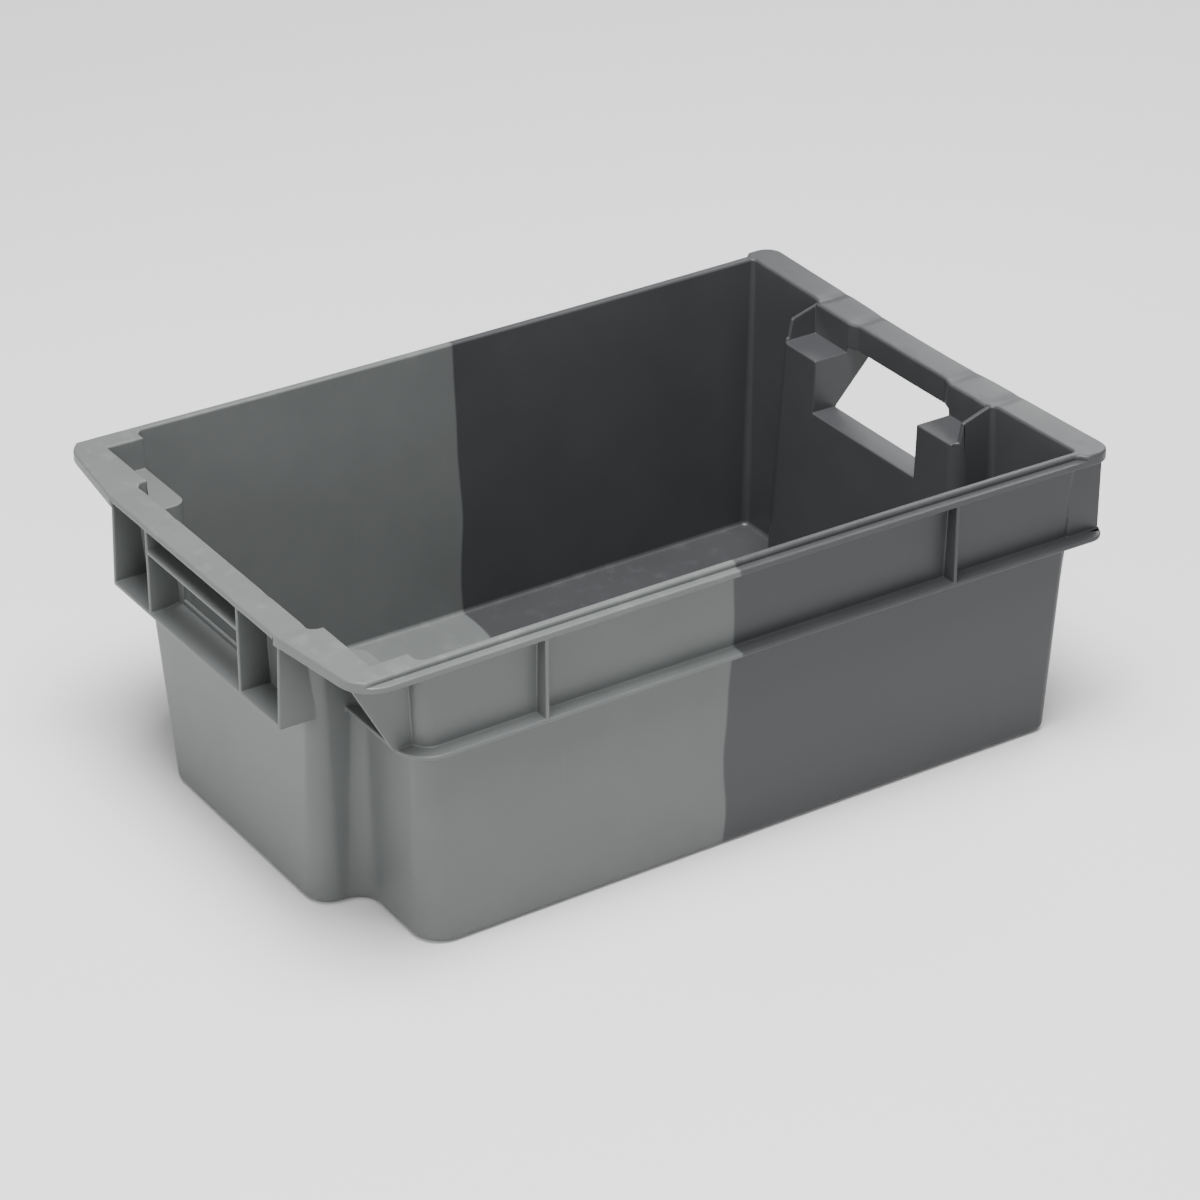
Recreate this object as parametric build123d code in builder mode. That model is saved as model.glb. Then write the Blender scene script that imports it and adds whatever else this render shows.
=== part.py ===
from build123d import *
import os

# A rigid stack-and-nest crate, moulded in one piece from two colours of plastic.
# X runs from the light end (-) to the dark end (+), Y from the front long side (-)
# to the back, Z up. The origin is under the middle of the crate, on the floor.
# Every solid is a region of that one moulding. Neighbours meet face to face.

# Overall size
length = 600.0
width = 400.0
height = 220.0

# Walls
wall = 2.6
floor_thickness = 3.0
draft = 0.036                # sideways growth of every wall for each mm of height
step_draft = 0.08            # the same for the short sides of the steps in the two ends
base_round = 6.0             # rounding where the walls meet the floor, outside

# Tub outline at floor level, outside faces
tub_half_width = 183.0
light_end_x = 272.0          # middle of the light end, which stands out
light_corner_x = 236.0       # its two corners, which are set in
light_panel_half = 103.0     # half width of the part that stands out
dark_corner_x = 270.0        # corners of the dark end
dark_middle_x = 238.0        # middle of the dark end, which is set in
dark_recess_half = 117.0     # half width of the part that is set in

# Rim: an outer lip all round, and a higher crown inside it
rim_under = 212.0
lip_top = 216.5
lip_width = 6.0
light_rim_x = 289.0          # lip at the light corners, before it widens to the grip
light_rim_corner = 26.0
dark_rim_corner = 14.0
grip_plate_under = 215.5     # underside of the flat grip plate at the light end
crown_round = 1.6

# Ledge: the flange at the foot of the collar
ledge_top = 155.0
ledge_under = 152.0
light_ledge_x = 253.0        # at the set-in light corners
light_ledge_corner = 24.0
grip_ledge_x = 262.0         # under the hand hold of the dark end

# Stacking shelves
shelf_top = 196.0
shelf_under = shelf_top - wall
light_shelf_x = 268.4        # inner face of the wall behind the light shelves
light_shelf_y = 176.0        # inner face of the wall beside them
light_shelf_end = 112.0
dark_shelf_x = 270.5         # inner face of the wall behind the dark shelves
dark_shelf_far = 99.0        # far end of a dark shelf, against the side wall
web_line = [(235, 197), (247, 198), (250, 212), (273, 219)]   # top of that side wall

# Hand holds
grip_half = 60.0             # inner faces of the webs beside both hand holds
hand_half = 55.0
grip_bar_half = 51.0         # straight part of the dark grip bar
hand_under = 160.0
hand_top = 197.5
grip_under = 200.0           # underside of both grips
grip_inner_x = 274.0         # inner face of the dark grip bar
outer_web_y = 112.0          # middle of the outermost webs of an end
inner_web_y = 61.4           # middle of the webs beside a hand hold

# Thin webs and ribs
web = 2.8
light_rib_x = -154.0
dark_rib_x = 169.0
handle_rib_z = 200.0         # level rib across the light hand hold
dark_wing_y = 188.0          # webs that carry the dark corners of the rim
dark_wing_x = 276.0

# Where the moulding is cut into regions
end_cut_x = 212.0            # between the long walls and the corners
end_cut_y = 86.0             # between the corners and the end walls
over = 5.0                   # how far a cutting shape runs past what it cuts
beyond = length              # larger than anything that is cut


def tub_outline(level, inset):
    """Plan of the outside of the tub at a level, moved inward by inset all round."""
    growth = draft * level - inset
    half = tub_half_width + growth
    panel = light_panel_half + step_draft * level - inset
    recess = dark_recess_half - step_draft * level + inset
    light_out, light_in = -light_end_x - growth, -light_corner_x - growth
    dark_out, dark_in = dark_corner_x + growth, dark_middle_x + growth
    back = [                         # x, y, radius at the floor, radius at the rim, bulge
        (dark_in, recess, 14, 6, -1),
        (dark_out, recess, 10, 6, 1),
        (dark_out, half, 9, 6, 1),
        (light_in, half, 22, 9, 1),
        (light_in, panel, 17, 6, -1),
        (light_out, panel, 18, 9, 1),
    ]
    front = [(x, -y, r0, r1, bulge) for x, y, r0, r1, bulge in reversed(back)]
    corners = back + front
    radii = [r0 + (r1 - r0) * level / height - bulge * inset for x, y, r0, r1, bulge in corners]
    with BuildSketch() as outline:
        with BuildLine():
            FilletPolyline(*[(x, y) for x, y, r0, r1, bulge in corners],
                           radius=radii, close=True)
        make_face()
    return outline.sketch


def tub_form(inset, bottom, top, rounding):
    """Solid that fills the tub outline from bottom to top, with a rounded lower edge."""
    levels = [(0.0, 1.0), (0.134, 0.5), (0.5, 0.134), (1.0, 0.0)]
    with BuildPart() as form:
        for rise, tuck in levels:
            level = bottom + rise * rounding
            with BuildSketch(Plane.XY.offset(level)):
                add(tub_outline(level, inset + tuck * rounding))
        with BuildSketch(Plane.XY.offset(top)):
            add(tub_outline(top, inset))
        loft(ruled=True)
    return form.part


def block(x0, x1, y0, y1, z0, z1):
    """Box between two corners."""
    size = (abs(x1 - x0), abs(y1 - y0), abs(z1 - z0))
    return Pos((x0 + x1) / 2, (y0 + y1) / 2, (z0 + z1) / 2) * Box(*size)


def both_sides(solid):
    """A solid and its mirror image in the XZ plane."""
    return [solid, mirror(solid, about=Plane.XZ)]


def upright_web(points, y, thickness):
    """Thin plate in an XZ plane, centred on y."""
    with BuildPart() as plate:
        with BuildSketch(Plane.XZ.offset(-y)):
            with BuildLine():
                Polyline(*points, close=True)
            make_face()
        extrude(amount=thickness / 2, both=True)
    return plate.part


def plan_plate(corners, bottom, top):
    """Flat plate from a plan with rounded corners, each given as x, y, radius."""
    with BuildPart() as plate:
        with BuildSketch(Plane.XY.offset(bottom)) as plan:
            with BuildLine():
                Polyline(*[(x, y) for x, y, r in corners], close=True)
            make_face()
            for x, y, r in corners:
                if r > 0:
                    fillet(plan.vertices().sort_by_distance((x, y, bottom))[0], r)
        extrude(amount=top - bottom)
    return plate.part


# The solids that the tub is made of, and the pockets above its shelves
tub_outside = tub_form(0.0, 0.0, height, base_round)
tub_inside = tub_form(wall, floor_thickness, height + over, base_round - wall)
light_pocket = block(-light_shelf_x, -light_corner_x + 2 * over, light_shelf_end,
                     light_shelf_y, shelf_top, height + over)
dark_pocket = block(dark_middle_x - 2 * over, dark_shelf_x, grip_half,
                    dark_shelf_far, shelf_top, height + over)
web_cut = upright_web(web_line + [(273, 225), (235, 225)], dark_shelf_far + over, 2 * over)
dark_hand_corners = [
    (dark_middle_x - 2 * over, -grip_half, 0),
    (dark_shelf_x, -grip_half, 0),
    (grip_inner_x, -grip_bar_half, 0),
    (grip_inner_x, grip_bar_half, 0),
    (dark_shelf_x, grip_half, 0),
    (dark_middle_x - 2 * over, grip_half, 0),
]
dark_hand = plan_plate(dark_hand_corners, ledge_top, height + over)
light_hand = block(-light_end_x - 4 * over, -light_end_x + over, -hand_half, hand_half,
                   hand_under, hand_top)
pockets = both_sides(light_pocket) + both_sides(dark_pocket) + both_sides(web_cut)

with BuildPart() as tub:
    add(tub_outside)
    add(tub_inside, mode=Mode.SUBTRACT)
    add(pockets, mode=Mode.SUBTRACT)
    add([dark_hand, light_hand], mode=Mode.SUBTRACT)

# Rim and ledge, as flat plates that the tub stands in
lip_corners = [
    (-light_rim_x, -width / 2, light_rim_corner),
    (length / 2, -width / 2, dark_rim_corner),
    (length / 2, width / 2, dark_rim_corner),
    (-light_rim_x, width / 2, light_rim_corner),
    (-length / 2, outer_web_y, 40),
    (-length / 2, -outer_web_y, 40),
]
web_face = outer_web_y + web / 2
crown_y = width / 2 - lip_width
light_crown_x = 262.0        # where the step between lip and crown is at its full width
dark_crown_x = 256.0         # the same towards the dark end
crown_back = [
    (length / 2, width / 2, dark_rim_corner),
    (dark_crown_x + 22, width / 2, 30),
    (dark_crown_x, crown_y, 30),
    (-light_crown_x, crown_y, 20),
    (-light_crown_x - 14, crown_y - 3, 10),
    (-light_rim_x - 1, outer_web_y + 64, 6),
    (-length / 2, outer_web_y, 40),
]
crown_corners = crown_back + [(x, -y, r) for x, y, r in reversed(crown_back)]
ledge_corners = [
    (-light_ledge_x, -width / 2, light_ledge_corner),
    (length / 2, -width / 2, dark_rim_corner),
    (length / 2, -web_face, 0),
    (grip_ledge_x, -web_face, 0),
    (grip_ledge_x, web_face, 0),
    (length / 2, web_face, 0),
    (length / 2, width / 2, dark_rim_corner),
    (-light_ledge_x, width / 2, light_ledge_corner),
    (-light_ledge_x, web_face, 0),
    (-length / 2, web_face, 4),
    (-length / 2, -web_face, 4),
    (-light_ledge_x, -web_face, 0),
]
light_grip_hollow = block(-length / 2 - over, -light_end_x, -outer_web_y + 3, outer_web_y - 3,
                          rim_under - over, grip_plate_under)
dark_grip_hollow = block(grip_inner_x + wall, length / 2 - wall, -grip_bar_half,
                         grip_bar_half, rim_under - over, grip_plate_under)

with BuildPart() as rim:
    add(plan_plate(lip_corners, rim_under, lip_top))
    add(plan_plate(crown_corners, lip_top, height))
    fillet(rim.edges().group_by(Axis.Z)[-1], crown_round)
    add(tub_inside, mode=Mode.SUBTRACT)
    add(pockets, mode=Mode.SUBTRACT)
    add([dark_hand, light_grip_hollow, dark_grip_hollow], mode=Mode.SUBTRACT)

with BuildPart() as ledge:
    add(plan_plate(ledge_corners, ledge_under, ledge_top))
    add(tub_outside, mode=Mode.SUBTRACT)


def column(x0, x1, top):
    """Corners of an upright web between two x values, from the ledge up to top."""
    return [(x0, ledge_top), (x1, ledge_top), (x1, top), (x0, top)]


def standing(points, y, thickness=web):
    """Upright web outside the tub, cut back to the tub and to the edge of the rim."""
    return (upright_web(points, y, thickness) & rim_plan) - tub_outside


def save(name, solids, region=None):
    """Join solids that belong together, keep what lies in region, and write a STEP file."""
    with BuildPart() as piece:
        add(solids)
        if region is not None:
            add(region, mode=Mode.INTERSECT)
    piece.part.label = name
    export_step(piece.part, f"parts/{name}.step")


# Webs, ribs, shelves and hand holds, for the back half; most are mirrored to the front
rim_plan = plan_plate(lip_corners, 0, height)
outer_column = column(-length / 2, -light_end_x, rim_under)
inner_column = column(-length / 2, -light_end_x, grip_plate_under)
gusset = [(-light_corner_x, ledge_top), (-light_ledge_x - 2, ledge_top),
          (-light_rim_x + 2, rim_under), (-light_corner_x, rim_under)]
grip_web = [(dark_middle_x, ledge_top), (grip_ledge_x, ledge_top), (296, 192), (296, rim_under),
            (dark_shelf_x + wall, rim_under), (dark_shelf_x + wall, shelf_under),
            (dark_middle_x, shelf_under)]
wing = column(dark_wing_x - over, length / 2, rim_under)

light_shelf_space = block(-light_shelf_x - wall, -light_corner_x, web_face,
                          light_shelf_y + wall, shelf_under, rim_under)
dark_shelf_space = block(dark_middle_x, dark_shelf_x + wall, grip_half,
                         dark_shelf_far + wall, shelf_under, rim_under)
light_shelf = light_shelf_space - light_pocket - tub_outside
dark_shelf = dark_shelf_space - dark_pocket - tub_outside

light_outer_web = standing(outer_column, outer_web_y)
light_handle_web = standing(inner_column, inner_web_y)
light_gusset = standing(gusset, light_shelf_y + wall / 2, wall) - light_shelf_space
dark_outer_web = standing(wing, outer_web_y)
dark_wing = standing(wing, dark_wing_y)
dark_grip_web = standing(grip_web, inner_web_y)

hand_edge = inner_web_y - web / 2
handle_rib = block(-length / 2, -light_end_x, -hand_edge, hand_edge,
                   handle_rib_z - wall / 2, handle_rib_z + wall / 2) - tub_outside
sill = upright_web([(-light_end_x, ledge_top), (-length / 2 + 8, ledge_top),
                    (-light_end_x - over, hand_under), (-light_end_x, hand_under)],
                   0, 2 * hand_edge) - tub_outside
grip_skirt_corners = [
    (dark_shelf_x, -grip_half, 0),
    (grip_inner_x, -grip_bar_half, 0),
    (grip_inner_x, grip_bar_half, 0),
    (dark_shelf_x, grip_half, 0),
    (dark_shelf_x + wall, grip_half, 0),
    (grip_inner_x + wall, grip_bar_half, 0),
    (grip_inner_x + wall, -grip_bar_half, 0),
    (dark_shelf_x + wall, -grip_half, 0),
]
grip_skirts = [
    plan_plate(grip_skirt_corners, grip_under, rim_under),
    block(length / 2 - wall, length / 2, -grip_half, grip_half, grip_under + 4, rim_under),
]

os.makedirs("parts", exist_ok=True)
for colour, hand, rib_x in (("light", -1, light_rib_x), ("dark", 1, dark_rib_x)):
    cut, end = hand * end_cut_x, hand * beyond
    walls = (floor_thickness, rim_under)
    save(f"{colour}_floor", tub.part, block(0, end, -beyond, beyond, -over, floor_thickness))
    save(f"{colour}_end_wall", tub.part, block(cut, end, -end_cut_y, end_cut_y, *walls))
    save(f"{colour}_end_rim", rim.part, block(cut, end, -beyond, beyond, 0, beyond))
    save(f"{colour}_end_ledge", ledge.part, block(0, end, -web_face, web_face, 0, beyond))
    for place, side in (("front", -1), ("back", 1)):
        far = side * beyond
        save(f"{colour}_{place}_wall", tub.part, block(0, cut, 0, far, *walls))
        save(f"{colour}_{place}_corner", tub.part, block(cut, end, side * end_cut_y, far, *walls))
        save(f"{colour}_{place}_rim", rim.part, block(0, cut, 0, far, 0, beyond))
        save(f"{colour}_{place}_ledge", ledge.part,
             block(0, end, side * web_face, far, 0, beyond))
        rib = block(rib_x - web / 2, rib_x + web / 2, side * tub_half_width,
                    side * width / 2, ledge_top, rim_under) - tub_outside
        save(f"{colour}_{place}_collar_rib", rib)

for place, about in (("front", Plane.XZ), ("back", None)):
    features = {
        f"light_{place}_shelf": light_shelf,
        f"light_{place}_gusset": light_gusset,
        f"light_{place}_outer_web": light_outer_web,
        f"light_{place}_handle_web": light_handle_web,
        f"dark_{place}_shelf": dark_shelf,
        f"dark_{place}_wing": dark_wing,
        f"dark_{place}_outer_web": dark_outer_web,
        f"dark_{place}_grip_web": dark_grip_web,
    }
    for name, solid in features.items():
        save(name, mirror(solid, about=about) if about else solid)

save("light_handle_rib", handle_rib)
save("light_handle_sill", sill)
save("dark_grip", grip_skirts)
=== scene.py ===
import math

import bmesh
import bpy
from mathutils import Matrix, Vector
from mathutils.bvhtree import BVHTree


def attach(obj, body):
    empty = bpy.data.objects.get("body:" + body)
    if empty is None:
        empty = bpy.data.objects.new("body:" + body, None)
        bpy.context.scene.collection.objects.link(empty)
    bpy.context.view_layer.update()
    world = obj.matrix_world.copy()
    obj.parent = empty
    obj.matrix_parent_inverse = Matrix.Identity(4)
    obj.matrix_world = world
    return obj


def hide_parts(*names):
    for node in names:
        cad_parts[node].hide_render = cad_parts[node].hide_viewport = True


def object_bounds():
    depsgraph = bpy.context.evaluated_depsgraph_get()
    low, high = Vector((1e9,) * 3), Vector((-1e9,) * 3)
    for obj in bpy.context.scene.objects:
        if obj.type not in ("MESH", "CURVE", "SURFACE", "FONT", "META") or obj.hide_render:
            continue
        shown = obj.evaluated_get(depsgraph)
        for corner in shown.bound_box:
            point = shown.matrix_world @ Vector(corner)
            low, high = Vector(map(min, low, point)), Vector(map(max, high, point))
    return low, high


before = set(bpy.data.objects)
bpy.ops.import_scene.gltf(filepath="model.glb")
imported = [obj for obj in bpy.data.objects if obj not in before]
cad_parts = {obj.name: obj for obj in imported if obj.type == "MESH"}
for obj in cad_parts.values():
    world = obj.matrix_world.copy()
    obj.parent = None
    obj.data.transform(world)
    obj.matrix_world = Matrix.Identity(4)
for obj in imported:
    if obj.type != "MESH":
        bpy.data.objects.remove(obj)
cad_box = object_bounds()

CAMERA_PLACE = (-1.31137, -2.02361, 1.44830)
CAMERA_AZIMUTH = math.radians(33.24)     # to the right of +Y
CAMERA_ELEVATION = math.radians(29.19)   # how far it looks down
CAMERA_LENS = 119.92                     # mm, on a 36 mm sensor

LIGHT_GREY = (0.088, 0.093, 0.092)
DARK_GREY = (0.034, 0.035, 0.037)
SPECULAR = 0.28
ROUGHNESS = (0.34, 0.44)        # where the flow marks are faint and where they are strong
CLOUDING = (0.94, 1.05)         # how far the flow marks change the colour
RUBBED_FOOT = 0.020             # m, scuffs fade out at this height
RUBBED_RIM = (0.206, 0.219)     # m, and come back between these


# ---------------------------------------------------------------- material

def node(tree, kind, **values):
    """Add a shader node and set its properties, or its inputs by name."""
    made = tree.nodes.new(kind)
    for key, value in values.items():
        if hasattr(made, key):
            setattr(made, key, value)
        else:
            made.inputs[key.replace("_", " ")].default_value = value
    return made


def noise_band(tree, place, scale, low, high, **values):
    """Noise at a place, stretched so that low to high becomes 0 to 1."""
    noise = node(tree, "ShaderNodeTexNoise", Scale=scale, **values)
    tree.links.new(place, noise.inputs["Vector"])
    band = node(tree, "ShaderNodeMapRange", From_Min=low, From_Max=high)
    tree.links.new(noise.outputs["Fac"], band.inputs["Value"])
    return band.outputs[0]


def spread(tree, value, low, high):
    """A 0 to 1 value turned into low to high."""
    band = node(tree, "ShaderNodeMapRange", To_Min=low, To_Max=high)
    tree.links.new(value, band.inputs["Value"])
    return band.outputs[0]


def sums(tree, operation, first, second, third=None):
    """Math node on sockets or numbers."""
    made = node(tree, "ShaderNodeMath", operation=operation)
    for slot, value in zip(made.inputs, (first, second, third)):
        if isinstance(value, (int, float)):
            slot.default_value = value
        elif value is not None:
            tree.links.new(value, slot)
    return made.outputs[0]


def colour_side(tree, place, axes):
    """0 in the light grey shot and 1 in the dark one: they meet on a line that wanders."""
    wander = node(tree, "ShaderNodeTexNoise", Scale=9.0, Detail=1.0)
    tree.links.new(place, wander.inputs["Vector"])
    wobble = sums(tree, "MULTIPLY_ADD", wander.outputs["Fac"], -0.020, 0.008)
    lean = sums(tree, "MULTIPLY_ADD", axes.outputs["Y"], -0.045, wobble)
    across = sums(tree, "ADD", axes.outputs["X"], lean)
    meeting = node(tree, "ShaderNodeMapRange", interpolation_type="SMOOTHSTEP",
                   From_Min=-0.0012, From_Max=0.0012)
    tree.links.new(across, meeting.inputs["Value"])
    return meeting.outputs[0]


def wear(tree, place, axes):
    """0 to 1 where the surface is rubbed: scuffs at foot and rim, and upright nesting marks."""
    foot = node(tree, "ShaderNodeMapRange", From_Min=RUBBED_FOOT, From_Max=0.0)
    crown = node(tree, "ShaderNodeMapRange", From_Min=RUBBED_RIM[0], From_Max=RUBBED_RIM[1])
    for band in (foot, crown):
        tree.links.new(axes.outputs["Z"], band.inputs["Value"])
    exposed = sums(tree, "MAXIMUM", foot.outputs[0], crown.outputs[0])
    scuffs = noise_band(tree, place, 70.0, 0.54, 0.74, Detail=8.0, Roughness=0.65)
    squeeze = node(tree, "ShaderNodeMapping")
    squeeze.inputs["Scale"].default_value = (1.0, 1.0, 0.03)
    tree.links.new(place, squeeze.inputs["Vector"])
    streaks = noise_band(tree, squeeze.outputs[0], 210.0, 0.63, 0.78, Detail=3.0)
    patches = noise_band(tree, place, 11.0, 0.50, 0.68, Detail=2.0)
    marks = sums(tree, "MULTIPLY", streaks, patches)
    return sums(tree, "MULTIPLY_ADD", scuffs, exposed, sums(tree, "MULTIPLY", marks, 0.5))


def moulded_plastic(name):
    """Satin polypropylene, light grey at one end of the crate and dark grey at the other."""
    material = bpy.data.materials.new(name)
    material.use_nodes = True
    tree = material.node_tree
    link = tree.links.new
    shader = tree.nodes["Principled BSDF"]
    place = node(tree, "ShaderNodeTexCoord").outputs["Object"]
    axes = node(tree, "ShaderNodeSeparateXYZ")
    link(place, axes.inputs[0])
    rubbed = wear(tree, place, axes)
    flow = noise_band(tree, place, 14.0, 0.3, 0.7, Detail=5.0, Roughness=0.6)

    tint = node(tree, "ShaderNodeMix", data_type="RGBA")
    link(colour_side(tree, place, axes), tint.inputs["Factor"])
    tint.inputs["A"].default_value = (*LIGHT_GREY, 1)
    tint.inputs["B"].default_value = (*DARK_GREY, 1)
    clouded = node(tree, "ShaderNodeVectorMath", operation="SCALE")
    link(tint.outputs["Result"], clouded.inputs[0])
    shade = sums(tree, "MULTIPLY_ADD", rubbed, 0.24, spread(tree, flow, *CLOUDING))
    link(shade, clouded.inputs["Scale"])
    link(clouded.outputs[0], shader.inputs["Base Color"])

    shader.inputs["Specular IOR Level"].default_value = SPECULAR
    gloss = sums(tree, "MULTIPLY_ADD", rubbed, 0.16, spread(tree, flow, *ROUGHNESS))
    link(gloss, shader.inputs["Roughness"])
    grain = node(tree, "ShaderNodeTexNoise", Scale=1400.0, Detail=2.0)
    link(place, grain.inputs["Vector"])
    relief = sums(tree, "MULTIPLY_ADD", rubbed, -0.6, grain.outputs["Fac"])
    bump = node(tree, "ShaderNodeBump", Strength=0.12, Distance=0.0003)
    link(relief, bump.inputs["Height"])
    link(bump.outputs[0], shader.inputs["Normal"])
    return material


# ---------------------------------------------------------------- shell
# The crate is drawn as the one moulding it is: solids that follow the CAD nodes are
# joined, hollowed, rounded at every edge and bowed a little, then cut at the colour change.
# All sizes in this section are millimetres until the finished shell is scaled.

LENGTH, WIDTH, HEIGHT = (round(1000 * (high - low)) for low, high in zip(*cad_box))
HALF_LENGTH, HALF_SPAN = LENGTH / 2, WIDTH / 2
WALL = 2.6
WEB = 2.8
FLOOR = 3.0

# The tub, by half sizes at floor level: it widens upward by the drafts.
DRAFT, STEP_DRAFT = 0.036, 0.08
HALF_WIDTH = 183
LIGHT_END, LIGHT_CORNER, LIGHT_PANEL = 272, 236, 103
DARK_CORNER, DARK_MIDDLE, DARK_RECESS = 270, 238, 117
BASE_ROUND = 6.0

# The rim: a lip as wide as the crate, and a crown on it.
RIM_UNDER, LIP_TOP, LIP = 212, 216.5, 6
LIGHT_TAPER = 289               # x at which the light end starts to narrow
LIGHT_ROUND, DARK_ROUND, TAPER_ROUND = 26, 14, 40
DARK_CROWN = 272                # x from which the crown widens to the full lip
GRIP_PLATE_UNDER = 215.5

# The ledge at the foot of the collar.
LEDGE_UNDER, LEDGE_TOP = 152, 155
LIGHT_LEDGE, LIGHT_LEDGE_ROUND = 253, 24        # x of its end at the light corners
DARK_LEDGE = 262                                # x of its edge between the dark outer webs

# Stacking shelves in the corners, and the hand hold of each end.
SHELF_TOP = 196
LIGHT_SHELF_X, LIGHT_SHELF_Y, LIGHT_SHELF_END = 268.4, 176, 112
DARK_SHELF_X, DARK_SHELF_FAR = 270.5, 99
LIGHT_POCKET, DARK_POCKET = 226, 228            # x at which the shelf pockets open inward
SHELF_BLOCK = 240                               # x from which the shelves are solid
GRIP_INNER, GRIP_BAR_HALF, GRIP_HALF = 274, 51, 60
SKIRT_UNDER, OUTER_SKIRT_UNDER = 200, 204
HAND_HALF, HAND_UNDER, HAND_TOP = 55, 160, 197.5
SILL_TOP, SILL_FOOT, SILL_HEAD = HAND_UNDER - 3, 292, 277

# Webs and ribs outside the tub. Their roots lie inside its walls.
OUTER_WEB, INNER_WEB, DARK_WING_WEB = 112, 61.4, 188
LIGHT_ROOT, DARK_ROOT = 270, 272
HAND_RIB = 200                                  # height of the level rib over the hand hold
LIGHT_RIB, DARK_RIB = -154, 169                 # x of the ribs of the long sides

EDGE_ROUND, CROWN_ROUND = 1.0, 1.8
SLICE = 25                      # length of the flat faces once they are cut to bend
OVER = 5                        # how far a cutting solid runs past what it cuts
FAR = 330                       # past both ends of the crate


def rounded(corners, steps=8):
    """Points round a plan whose corners are given as x, y, radius."""
    points = []
    for i, (x, y, radius) in enumerate(corners):
        here = Vector((x, y))
        if radius <= 0:
            points.append(here)
            continue
        before = (Vector(corners[i - 1][:2]) - here).normalized()
        after = (Vector(corners[(i + 1) % len(corners)][:2]) - here).normalized()
        half = before.angle(after) / 2
        centre = here + (before + after).normalized() * radius / math.sin(half)
        start = here + before * radius / math.tan(half) - centre
        end = here + after * radius / math.tan(half) - centre
        sweep = math.atan2(start.cross(end), start.dot(end))
        for k in range(steps + 1):
            arm = start.copy()
            arm.rotate(Matrix.Rotation(sweep * k / steps, 2))
            points.append(centre + arm)
    return points


def solid(rings):
    """Closed object through rings of points, the first and the last capped."""
    mesh = bmesh.new()
    loops = [[mesh.verts.new(point) for point in ring] for ring in rings]
    count = len(loops[0])
    for low, high in zip(loops, loops[1:]):
        for i in range(count):
            j = (i + 1) % count
            mesh.faces.new((low[i], low[j], high[j], high[i]))
    mesh.faces.new(loops[0])
    mesh.faces.new(loops[-1])
    bmesh.ops.recalc_face_normals(mesh, faces=mesh.faces)
    data = bpy.data.meshes.new("solid")
    mesh.to_mesh(data)
    mesh.free()
    return bpy.data.objects.new("solid", data)


def plate(corners, z0, z1, steps=8):
    """Level plate with the given plan."""
    plan = rounded(corners, steps)
    return solid([[(p.x, p.y, z) for p in plan] for z in (z0, z1)])


def block(x0, x1, y0, y1, z0, z1):
    """Box between two corners."""
    return plate([(x0, y0, 0), (x1, y0, 0), (x1, y1, 0), (x0, y1, 0)], z0, z1)


def upright(profile, y0, y1):
    """Upright plate with its outline in the XZ plane."""
    return solid([[(x, y, z) for x, z in profile] for y in (y0, y1)])


def span(side, near, far):
    """From near to far on one side of the middle line, lowest first."""
    return sorted((side * near, side * far))


def tub_ring(level, inset):
    """Plan of the tub at a level, moved inward by inset, as the CAD draws it."""
    growth = DRAFT * level - inset
    half = HALF_WIDTH + growth
    panel = LIGHT_PANEL + STEP_DRAFT * level - inset
    recess = DARK_RECESS - STEP_DRAFT * level + inset
    back = [
        (DARK_MIDDLE + growth, recess, 14, 6, -1),
        (DARK_CORNER + growth, recess, 10, 6, 1),
        (DARK_CORNER + growth, half, 9, 6, 1),
        (-LIGHT_CORNER - growth, half, 22, 9, 1),
        (-LIGHT_CORNER - growth, panel, 17, 6, -1),
        (-LIGHT_END - growth, panel, 18, 9, 1),
    ]
    front = [(x, -y, r0, r1, bulge) for x, y, r0, r1, bulge in reversed(back)]
    corners = [(x, y, r0 + (r1 - r0) * level / HEIGHT - bulge * inset)
               for x, y, r0, r1, bulge in back + front]
    return [(p.x, p.y, level) for p in rounded(corners)]


def tub_form(inset, bottom, top, rounding):
    """Tapered tub shape with a rounded lower edge."""
    rings = []
    for step in range(7):
        turn = math.pi / 2 * step / 6
        level = bottom + rounding * (1 - math.cos(turn))
        rings.append(tub_ring(level, inset + rounding * (1 - math.sin(turn))))
    for level in (LEDGE_UNDER, SHELF_TOP, top):
        rings.append(tub_ring(level, inset))
    return solid(rings)


def combine(base, others, operation):
    """Exact boolean of one object with a list of others, which are used up."""
    group = bpy.data.collections.new("operands")
    bpy.context.scene.collection.objects.link(base)
    bpy.context.scene.collection.children.link(group)
    for other in others:
        group.objects.link(other)
    step = base.modifiers.new("combine", "BOOLEAN")
    step.operation = operation
    step.operand_type = "COLLECTION"
    step.collection = group
    step.solver = "EXACT"
    graph = bpy.context.evaluated_depsgraph_get()
    data = bpy.data.meshes.new_from_object(base.evaluated_get(graph))
    for used in [base, *others]:
        bpy.data.objects.remove(used)
    bpy.data.collections.remove(group)
    return bpy.data.objects.new("shell", data)


def rim_plan():
    """Outline of the crate from above, as corners with their radii."""
    return [(-LIGHT_TAPER, -HALF_SPAN, LIGHT_ROUND), (HALF_LENGTH, -HALF_SPAN, DARK_ROUND),
            (HALF_LENGTH, HALF_SPAN, DARK_ROUND), (-LIGHT_TAPER, HALF_SPAN, LIGHT_ROUND),
            (-HALF_LENGTH, OUTER_WEB, TAPER_ROUND), (-HALF_LENGTH, -OUTER_WEB, TAPER_ROUND)]


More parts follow.
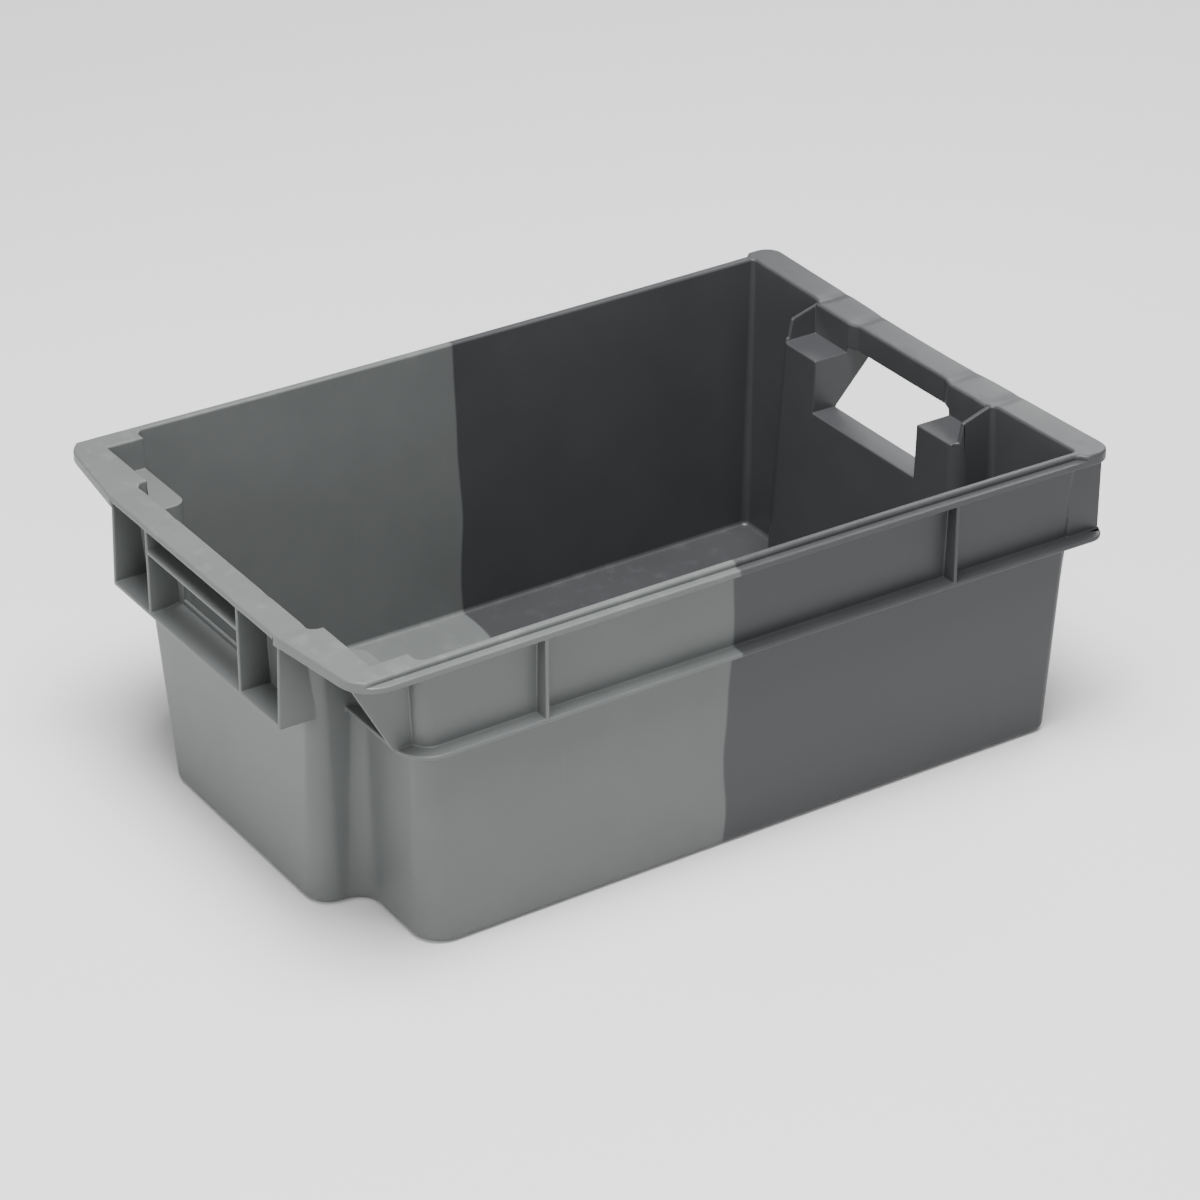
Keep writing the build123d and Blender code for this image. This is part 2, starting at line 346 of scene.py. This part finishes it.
def rim():
    """Lip with the crown on it, hollow under both grips."""
    side, beyond = HALF_SPAN - LIP, HALF_SPAN + 10
    widened = DARK_CROWN + beyond - side
    strip = [(FAR, -beyond, 0), (FAR, beyond, 0), (widened, beyond, 0),
             (DARK_CROWN, side, 6), (-FAR, side, 0), (-FAR, -side, 0),
             (DARK_CROWN, -side, 6), (widened, -beyond, 0)]
    crown = combine(plate(rim_plan(), LIP_TOP - 1, HEIGHT),
                    [plate(strip, RIM_UNDER, HEIGHT + 1)], "INTERSECT")
    ring = combine(plate(rim_plan(), RIM_UNDER, LIP_TOP), [crown], "UNION")
    under = (RIM_UNDER - OVER, GRIP_PLATE_UNDER)
    reach = OUTER_WEB - 3
    undersides = [
        block(-HALF_LENGTH - OVER, -LIGHT_END, -reach, reach, *under),
        block(GRIP_INNER + WALL, HALF_LENGTH - WALL, -GRIP_BAR_HALF, GRIP_BAR_HALF, *under),
    ]
    return combine(ring, undersides, "DIFFERENCE")


def ledge():
    """Flange at the foot of the collar."""
    face = OUTER_WEB + WEB / 2
    corners = [(-LIGHT_LEDGE, -HALF_SPAN, LIGHT_LEDGE_ROUND),
               (HALF_LENGTH, -HALF_SPAN, DARK_ROUND), (HALF_LENGTH, -face, 0),
               (DARK_LEDGE, -face, 0), (DARK_LEDGE, face, 0),
               (HALF_LENGTH, face, 0), (HALF_LENGTH, HALF_SPAN, DARK_ROUND),
               (-LIGHT_LEDGE, HALF_SPAN, LIGHT_LEDGE_ROUND), (-LIGHT_LEDGE, face, 0),
               (-HALF_LENGTH, face, 0), (-HALF_LENGTH, -face, 0), (-LIGHT_LEDGE, -face, 0)]
    return plate(corners, LEDGE_UNDER, LEDGE_TOP)


def end_webs(low, high):
    """Upright webs of both ends, each in a plane that runs along the crate."""
    inner = [(-HALF_LENGTH, low), (-LIGHT_ROOT, low), (-LIGHT_ROOT, HEIGHT - 2),
             (-HALF_LENGTH, HEIGHT - 2)]
    gusset = [(-230, low), (-255, low), (-287, high), (-230, high)]
    wing = [(DARK_ROOT, low), (HALF_LENGTH - 1, low), (HALF_LENGTH - 1, high),
            (DARK_ROOT, high)]
    grip = [(240, low), (DARK_LEDGE, LEDGE_TOP), (296, 192), (296, high), (273.1, high),
            (273.1, 194), (240, 194)]
    pieces = []
    for profile, middle, thick in ((inner, INNER_WEB, WEB),
                                   (gusset, LIGHT_SHELF_Y + WALL / 2, WALL),
                                   (wing, OUTER_WEB, WEB), (wing, DARK_WING_WEB, WEB),
                                   (grip, INNER_WEB, WEB)):
        for side in (-1, 1):
            edges = span(side, middle - thick / 2, middle + thick / 2)
            pieces.append(upright(profile, *edges))
    return pieces


def webs():
    """Every thin web and rib outside the tub, each run a little into its neighbours."""
    low, high = LEDGE_TOP - 1, RIM_UNDER + 1
    pieces = end_webs(low, high)
    for rib_x in (LIGHT_RIB, DARK_RIB):
        for side in (-1, 1):
            edges = span(side, HALF_WIDTH + 2, HALF_SPAN)
            pieces.append(block(rib_x - WEB / 2, rib_x + WEB / 2, *edges, low, high))
    pieces.append(block(-HALF_LENGTH, -LIGHT_ROOT, -INNER_WEB, INNER_WEB,
                        HAND_RIB - WALL / 2, HAND_RIB + WALL / 2))
    sill = [(-LIGHT_ROOT, low), (-SILL_FOOT, low), (-SILL_HEAD, SILL_TOP),
            (-LIGHT_ROOT, SILL_TOP)]
    pieces.append(upright(sill, -INNER_WEB, INNER_WEB))
    return pieces


def outer_webs():
    """Outermost webs of the light end, which run down into the end of the ledge."""
    low, high, root, lean = LEDGE_UNDER + 1, RIM_UNDER + 1, -250, 1.8
    profile = [(-HALF_LENGTH, low), (root, low), (root, high), (-HALF_LENGTH + lean, high),
               (-HALF_LENGTH, LEDGE_TOP)]
    return [upright(profile, *span(side, OUTER_WEB - WEB / 2, OUTER_WEB + WEB / 2))
            for side in (-1, 1)]


def shelves():
    """Plates and back walls of the four stacking shelves, as solid blocks."""
    levels = (SHELF_TOP - WALL, RIM_UNDER + 1)
    pieces = []
    for side in (-1, 1):
        light = span(side, OUTER_WEB + WEB / 2, LIGHT_SHELF_Y + WALL)
        dark = span(side, GRIP_HALF, DARK_SHELF_FAR + 2 * WALL)
        pieces.append(block(-LIGHT_SHELF_X - WALL, -SHELF_BLOCK, *light, *levels))
        pieces.append(block(SHELF_BLOCK, DARK_SHELF_X + WALL, *dark, *levels))
    return pieces


def grip_skirts():
    """Skirts that hang from the dark grip."""
    ends = ((GRIP_HALF, DARK_SHELF_X), (GRIP_BAR_HALF, GRIP_INNER))
    inner = [(x, -y) for y, x in ends] + [(x, y) for y, x in reversed(ends)]
    skirt = inner + [(x + WALL, y) for x, y in reversed(inner)]
    return [plate([(x, y, 0) for x, y in skirt], SKIRT_UNDER, RIM_UNDER + 1),
            block(HALF_LENGTH - WALL, HALF_LENGTH, -GRIP_HALF, GRIP_HALF,
                  OUTER_SKIRT_UNDER, RIM_UNDER + 1)]


def hollows():
    """Everything that is cut away: the inside, the shelf pockets and the hand holds."""
    web_top = [(235, 197), (247, 198), (250, 212), (273, 219), (273, 225), (235, 225)]
    top = HEIGHT + OVER
    hand = [(DARK_POCKET, -GRIP_HALF), (DARK_SHELF_X, -GRIP_HALF),
            (GRIP_INNER, -GRIP_BAR_HALF), (GRIP_INNER, GRIP_BAR_HALF),
            (DARK_SHELF_X, GRIP_HALF), (DARK_POCKET, GRIP_HALF)]
    pieces = [
        tub_form(WALL, FLOOR, top, BASE_ROUND - WALL),
        plate([(x, y, 0) for x, y in hand], LEDGE_TOP, top),
        block(-LIGHT_END - 20, -LIGHT_END + OVER, -HAND_HALF, HAND_HALF, HAND_UNDER, HAND_TOP),
    ]
    for side in (-1, 1):
        light = span(side, LIGHT_SHELF_END, LIGHT_SHELF_Y)
        dark = span(side, GRIP_HALF - 0.5, DARK_SHELF_FAR)
        pieces.append(block(-LIGHT_SHELF_X, -LIGHT_POCKET, *light, SHELF_TOP, top))
        pieces.append(block(DARK_POCKET, DARK_SHELF_X, *dark, SHELF_TOP, top))
        pieces.append(upright(web_top, *span(side, DARK_SHELF_FAR, DARK_SHELF_FAR + 10)))
    return pieces


def folded_edges(mesh, least=30):
    """Edges that fold by more than least degrees."""
    limit = math.radians(least)
    return [edge for edge in mesh.edges
            if len(edge.link_faces) == 2 and edge.calc_face_angle(0) > limit]


def crown_edges(mesh):
    """Edges of the crown's top face."""
    return [edge for edge in folded_edges(mesh)
            if min(vert.co.z for vert in edge.verts) > HEIGHT - 0.01]


def other_edges(mesh):
    """All edges below the crown; of those on the lip only the outer one."""
    chosen = []
    for edge in folded_edges(mesh):
        low, high = sorted(vert.co.z for vert in edge.verts)
        if low < LIP_TOP - 0.1 or (high < LIP_TOP + 0.1 and edge.is_convex):
            chosen.append(edge)
    return chosen


def fade(value, start, end):
    """Smooth step from 0 at start to 1 at end."""
    t = min(max((value - start) / (end - start), 0), 1)
    return t * t * (3 - 2 * t)


# Shrinkage, in mm: dips in the rim, given as x, y on both sides and depth, with how far
# they spread along and across; and how far the long walls, the dark end and its grip pull in.
SINKS = ((-286, 62, 0.7), (-286, 112, 0.9), (285, 55, 1.1), (285, 101, 1.3))
SINK_LENGTH, SINK_WIDTH = 14, 5
SIDE_BOW, END_BOW, GRIP_BOW = 3.0, 4.0, 1.8


def sink(place):
    """How far the rim sinks at a point, where webs join it from below."""
    if place[2] < RIM_UNDER:
        return 0
    dips = [(((place[0] - x) / SINK_LENGTH) ** 2 + ((abs(place[1]) - y) / SINK_WIDTH) ** 2,
             depth) for x, y, depth in SINKS]
    return sum(depth * math.exp(-far) for far, depth in dips)


def bow(place):
    """Where shrinkage moves a point: the long walls and the dark end pull in mid-way."""
    x, y, z = place
    rise = 0.35 + 0.65 * z / HEIGHT
    along = 1 - min(abs(x) / 290, 1) ** 2
    y -= math.copysign(SIDE_BOW * rise * along * fade(abs(y), 120, 185), y)
    across = 1 - min(abs(y) / 195, 1) ** 2
    x -= END_BOW * rise * across * fade(x, 180, 250)
    grip = 1 - fade(abs(y), 30, 90)
    x -= GRIP_BOW * grip * fade(x, 285, 296) * fade(z, 196, 204)
    return Vector((x, y, z - sink(place)))


def crate_shell():
    """The whole moulding as one closed mesh, in millimetres."""
    ring = rim()
    outline = plate(rim_plan(), 100, HEIGHT + 1)
    first, *others = webs()
    outside = combine(first, others, "UNION")
    outside = combine(outside, [outline], "INTERSECT")
    body = combine(tub_form(0, 0, HEIGHT - 1, BASE_ROUND),
                   [ring, ledge(), outside, *outer_webs(), *shelves(), *grip_skirts()], "UNION")
    return combine(body, hollows(), "DIFFERENCE")


def merge_flat(mesh):
    """Join coplanar faces, so that only real corners and facets keep their edges."""
    bmesh.ops.remove_doubles(mesh, verts=mesh.verts, dist=0.05)
    bmesh.ops.dissolve_limit(mesh, angle_limit=math.radians(0.05), verts=mesh.verts,
                             edges=mesh.edges)
    bmesh.ops.dissolve_degenerate(mesh, edges=mesh.edges, dist=0.05)


def soften(mesh):
    """Round the moulded edges, and lay any stray corner back on the unrounded surface."""
    for choose, size in ((crown_edges, CROWN_ROUND), (other_edges, EDGE_ROUND)):
        before = BVHTree.FromBMesh(mesh)
        bmesh.ops.bevel(mesh, geom=choose(mesh), offset=size, segments=3, profile=0.5,
                        affect="EDGES", clamp_overlap=False, loop_slide=True)
        for vert in mesh.verts:
            nearest, _, _, distance = before.find_nearest(vert.co)
            if distance > 0.6 * size:
                vert.co = nearest


def cut_across(mesh, axis, value, wanted=None):
    """Cut the faces of a mesh, or those that are wanted, with a plane across an axis."""
    point, normal = Vector((0, 0, 0)), Vector((0, 0, 0))
    point[axis], normal[axis] = value, 1
    faces = [face for face in mesh.faces if wanted is None or wanted(face.calc_center_median())]
    edges = {edge for face in faces for edge in face.edges}
    verts = {vert for face in faces for vert in face.verts}
    bmesh.ops.bisect_plane(mesh, geom=[*verts, *edges, *faces], plane_co=point, plane_no=normal)


def slice_up(mesh):
    """Cut the long flat faces so that they can bend, and the end rims finely for the sinks."""
    for axis, reach in ((0, LENGTH // 2), (1, WIDTH // 2)):
        for value in range(-reach + SLICE, reach, SLICE):
            cut_across(mesh, axis, value)
    for x, y, _ in SINKS:
        for side in (-1, 1):
            for step in range(-9, 10, 3):
                cut_across(mesh, 1, side * y + step,
                           lambda c: c.z > RIM_UNDER and abs(c.x) > 265 and c.x * x > 0
                           and abs(c.y - side * y) < 26)
    for x in (-294, -288, -282, -276, 278, 284, 290):
        cut_across(mesh, 0, x, lambda c: c.z > LIP_TOP and abs(c.y) < 125)


def finished_shell():
    """The moulding with its rounded edges and its slight bow, in metres."""
    body = crate_shell()
    mesh = bmesh.new()
    mesh.from_mesh(body.data)
    bpy.data.objects.remove(body)
    merge_flat(mesh)
    soften(mesh)
    slice_up(mesh)
    for vert in mesh.verts:
        vert.co = bow(vert.co) * 0.001
    for face in mesh.faces:
        face.smooth = True
    for edge in mesh.edges:
        edge.smooth = edge.calc_face_angle(0) < math.radians(35)
    return mesh


def half_shell(mesh, name, side):
    """The part of the shell on one side of the colour change, as a piece."""
    half = mesh.copy()
    geometry = [*half.verts, *half.edges, *half.faces]
    bmesh.ops.bisect_plane(half, geom=geometry, plane_co=(0, 0, 0), plane_no=(side, 0, 0),
                           clear_inner=True, dist=1e-7)
    data = bpy.data.meshes.new(name)
    half.to_mesh(data)
    half.free()
    data.materials.append(plastic)
    piece = bpy.data.objects.new(name, data)
    bpy.context.scene.collection.objects.link(piece)
    even = piece.modifiers.new("even_shading", "WEIGHTED_NORMAL")
    even.weight = 60
    even.keep_sharp = True
    return piece


plastic = moulded_plastic("two_colour_plastic")
whole = finished_shell()
for colour, side in (("light", -1), ("dark", 1)):
    piece = half_shell(whole, f"{colour}_half", side)
    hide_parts(*[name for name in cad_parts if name.startswith(colour)])
    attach(piece, "root")
whole.free()


# ---------------------------------------------------------------- studio

LIGHTS = (                      # name, place in m, width in m, power in W
    ("key", (-2.7, -0.3, 1.2), 1.2, 45),
    ("front", (-0.6, -2.7, 1.2), 1.4, 40),
    ("top", (-0.3, -0.4, 3.0), 1.6, 290),
    ("back", (2.4, 1.6, 1.6), 1.6, 40),
)
LIGHT_TARGET = (0, 0, 0.1)
FLOOR_SHADE = (0.58, 0.62)
SURROUNDINGS = 0.3              # brightness of the white world


def studio_floor():
    """Wide pale floor under the crate."""
    mesh = bpy.data.meshes.new("studio_floor")
    half = 8.0
    mesh.from_pydata([(-half, -half, 0), (half, -half, 0), (half, half, 0), (-half, half, 0)],
                     [], [(0, 1, 2, 3)])
    floor = bpy.data.objects.new("studio_floor", mesh)
    bpy.context.scene.collection.objects.link(floor)
    material = bpy.data.materials.new("studio_floor")
    material.use_nodes = True
    tree = material.node_tree
    shader = tree.nodes["Principled BSDF"]
    mottle = node(tree, "ShaderNodeTexNoise", Scale=3.0, Detail=3.0)
    shade = spread(tree, mottle.outputs["Fac"], *FLOOR_SHADE)
    tree.links.new(shade, shader.inputs["Base Color"])
    shader.inputs["Roughness"].default_value = 0.9
    mesh.materials.append(material)


def soft_light(name, place, size, power):
    """Square area light aimed at the crate."""
    light = bpy.data.lights.new(name, "AREA")
    light.shape = "SQUARE"
    light.size = size
    light.energy = power
    lamp = bpy.data.objects.new(name, light)
    lamp.location = place
    aim = Vector(LIGHT_TARGET) - Vector(place)
    lamp.rotation_euler = aim.to_track_quat("-Z", "Y").to_euler()
    bpy.context.scene.collection.objects.link(lamp)


def studio():
    """Floor, soft lights, pale surroundings and the camera."""
    studio_floor()
    for light in LIGHTS:
        soft_light(*light)
    world = bpy.data.worlds.new("studio")
    world.use_nodes = True
    background = world.node_tree.nodes["Background"]
    background.inputs["Color"].default_value = (1, 1, 1, 1)
    background.inputs["Strength"].default_value = SURROUNDINGS
    bpy.context.scene.world = world

    camera = bpy.data.objects.new("camera", bpy.data.cameras.new("camera"))
    camera.location = CAMERA_PLACE
    camera.rotation_euler = (math.pi / 2 - CAMERA_ELEVATION, 0, -CAMERA_AZIMUTH)
    camera.data.lens = CAMERA_LENS
    camera.data.sensor_width = 36.0
    bpy.context.scene.collection.objects.link(camera)
    bpy.context.scene.camera = camera


studio()
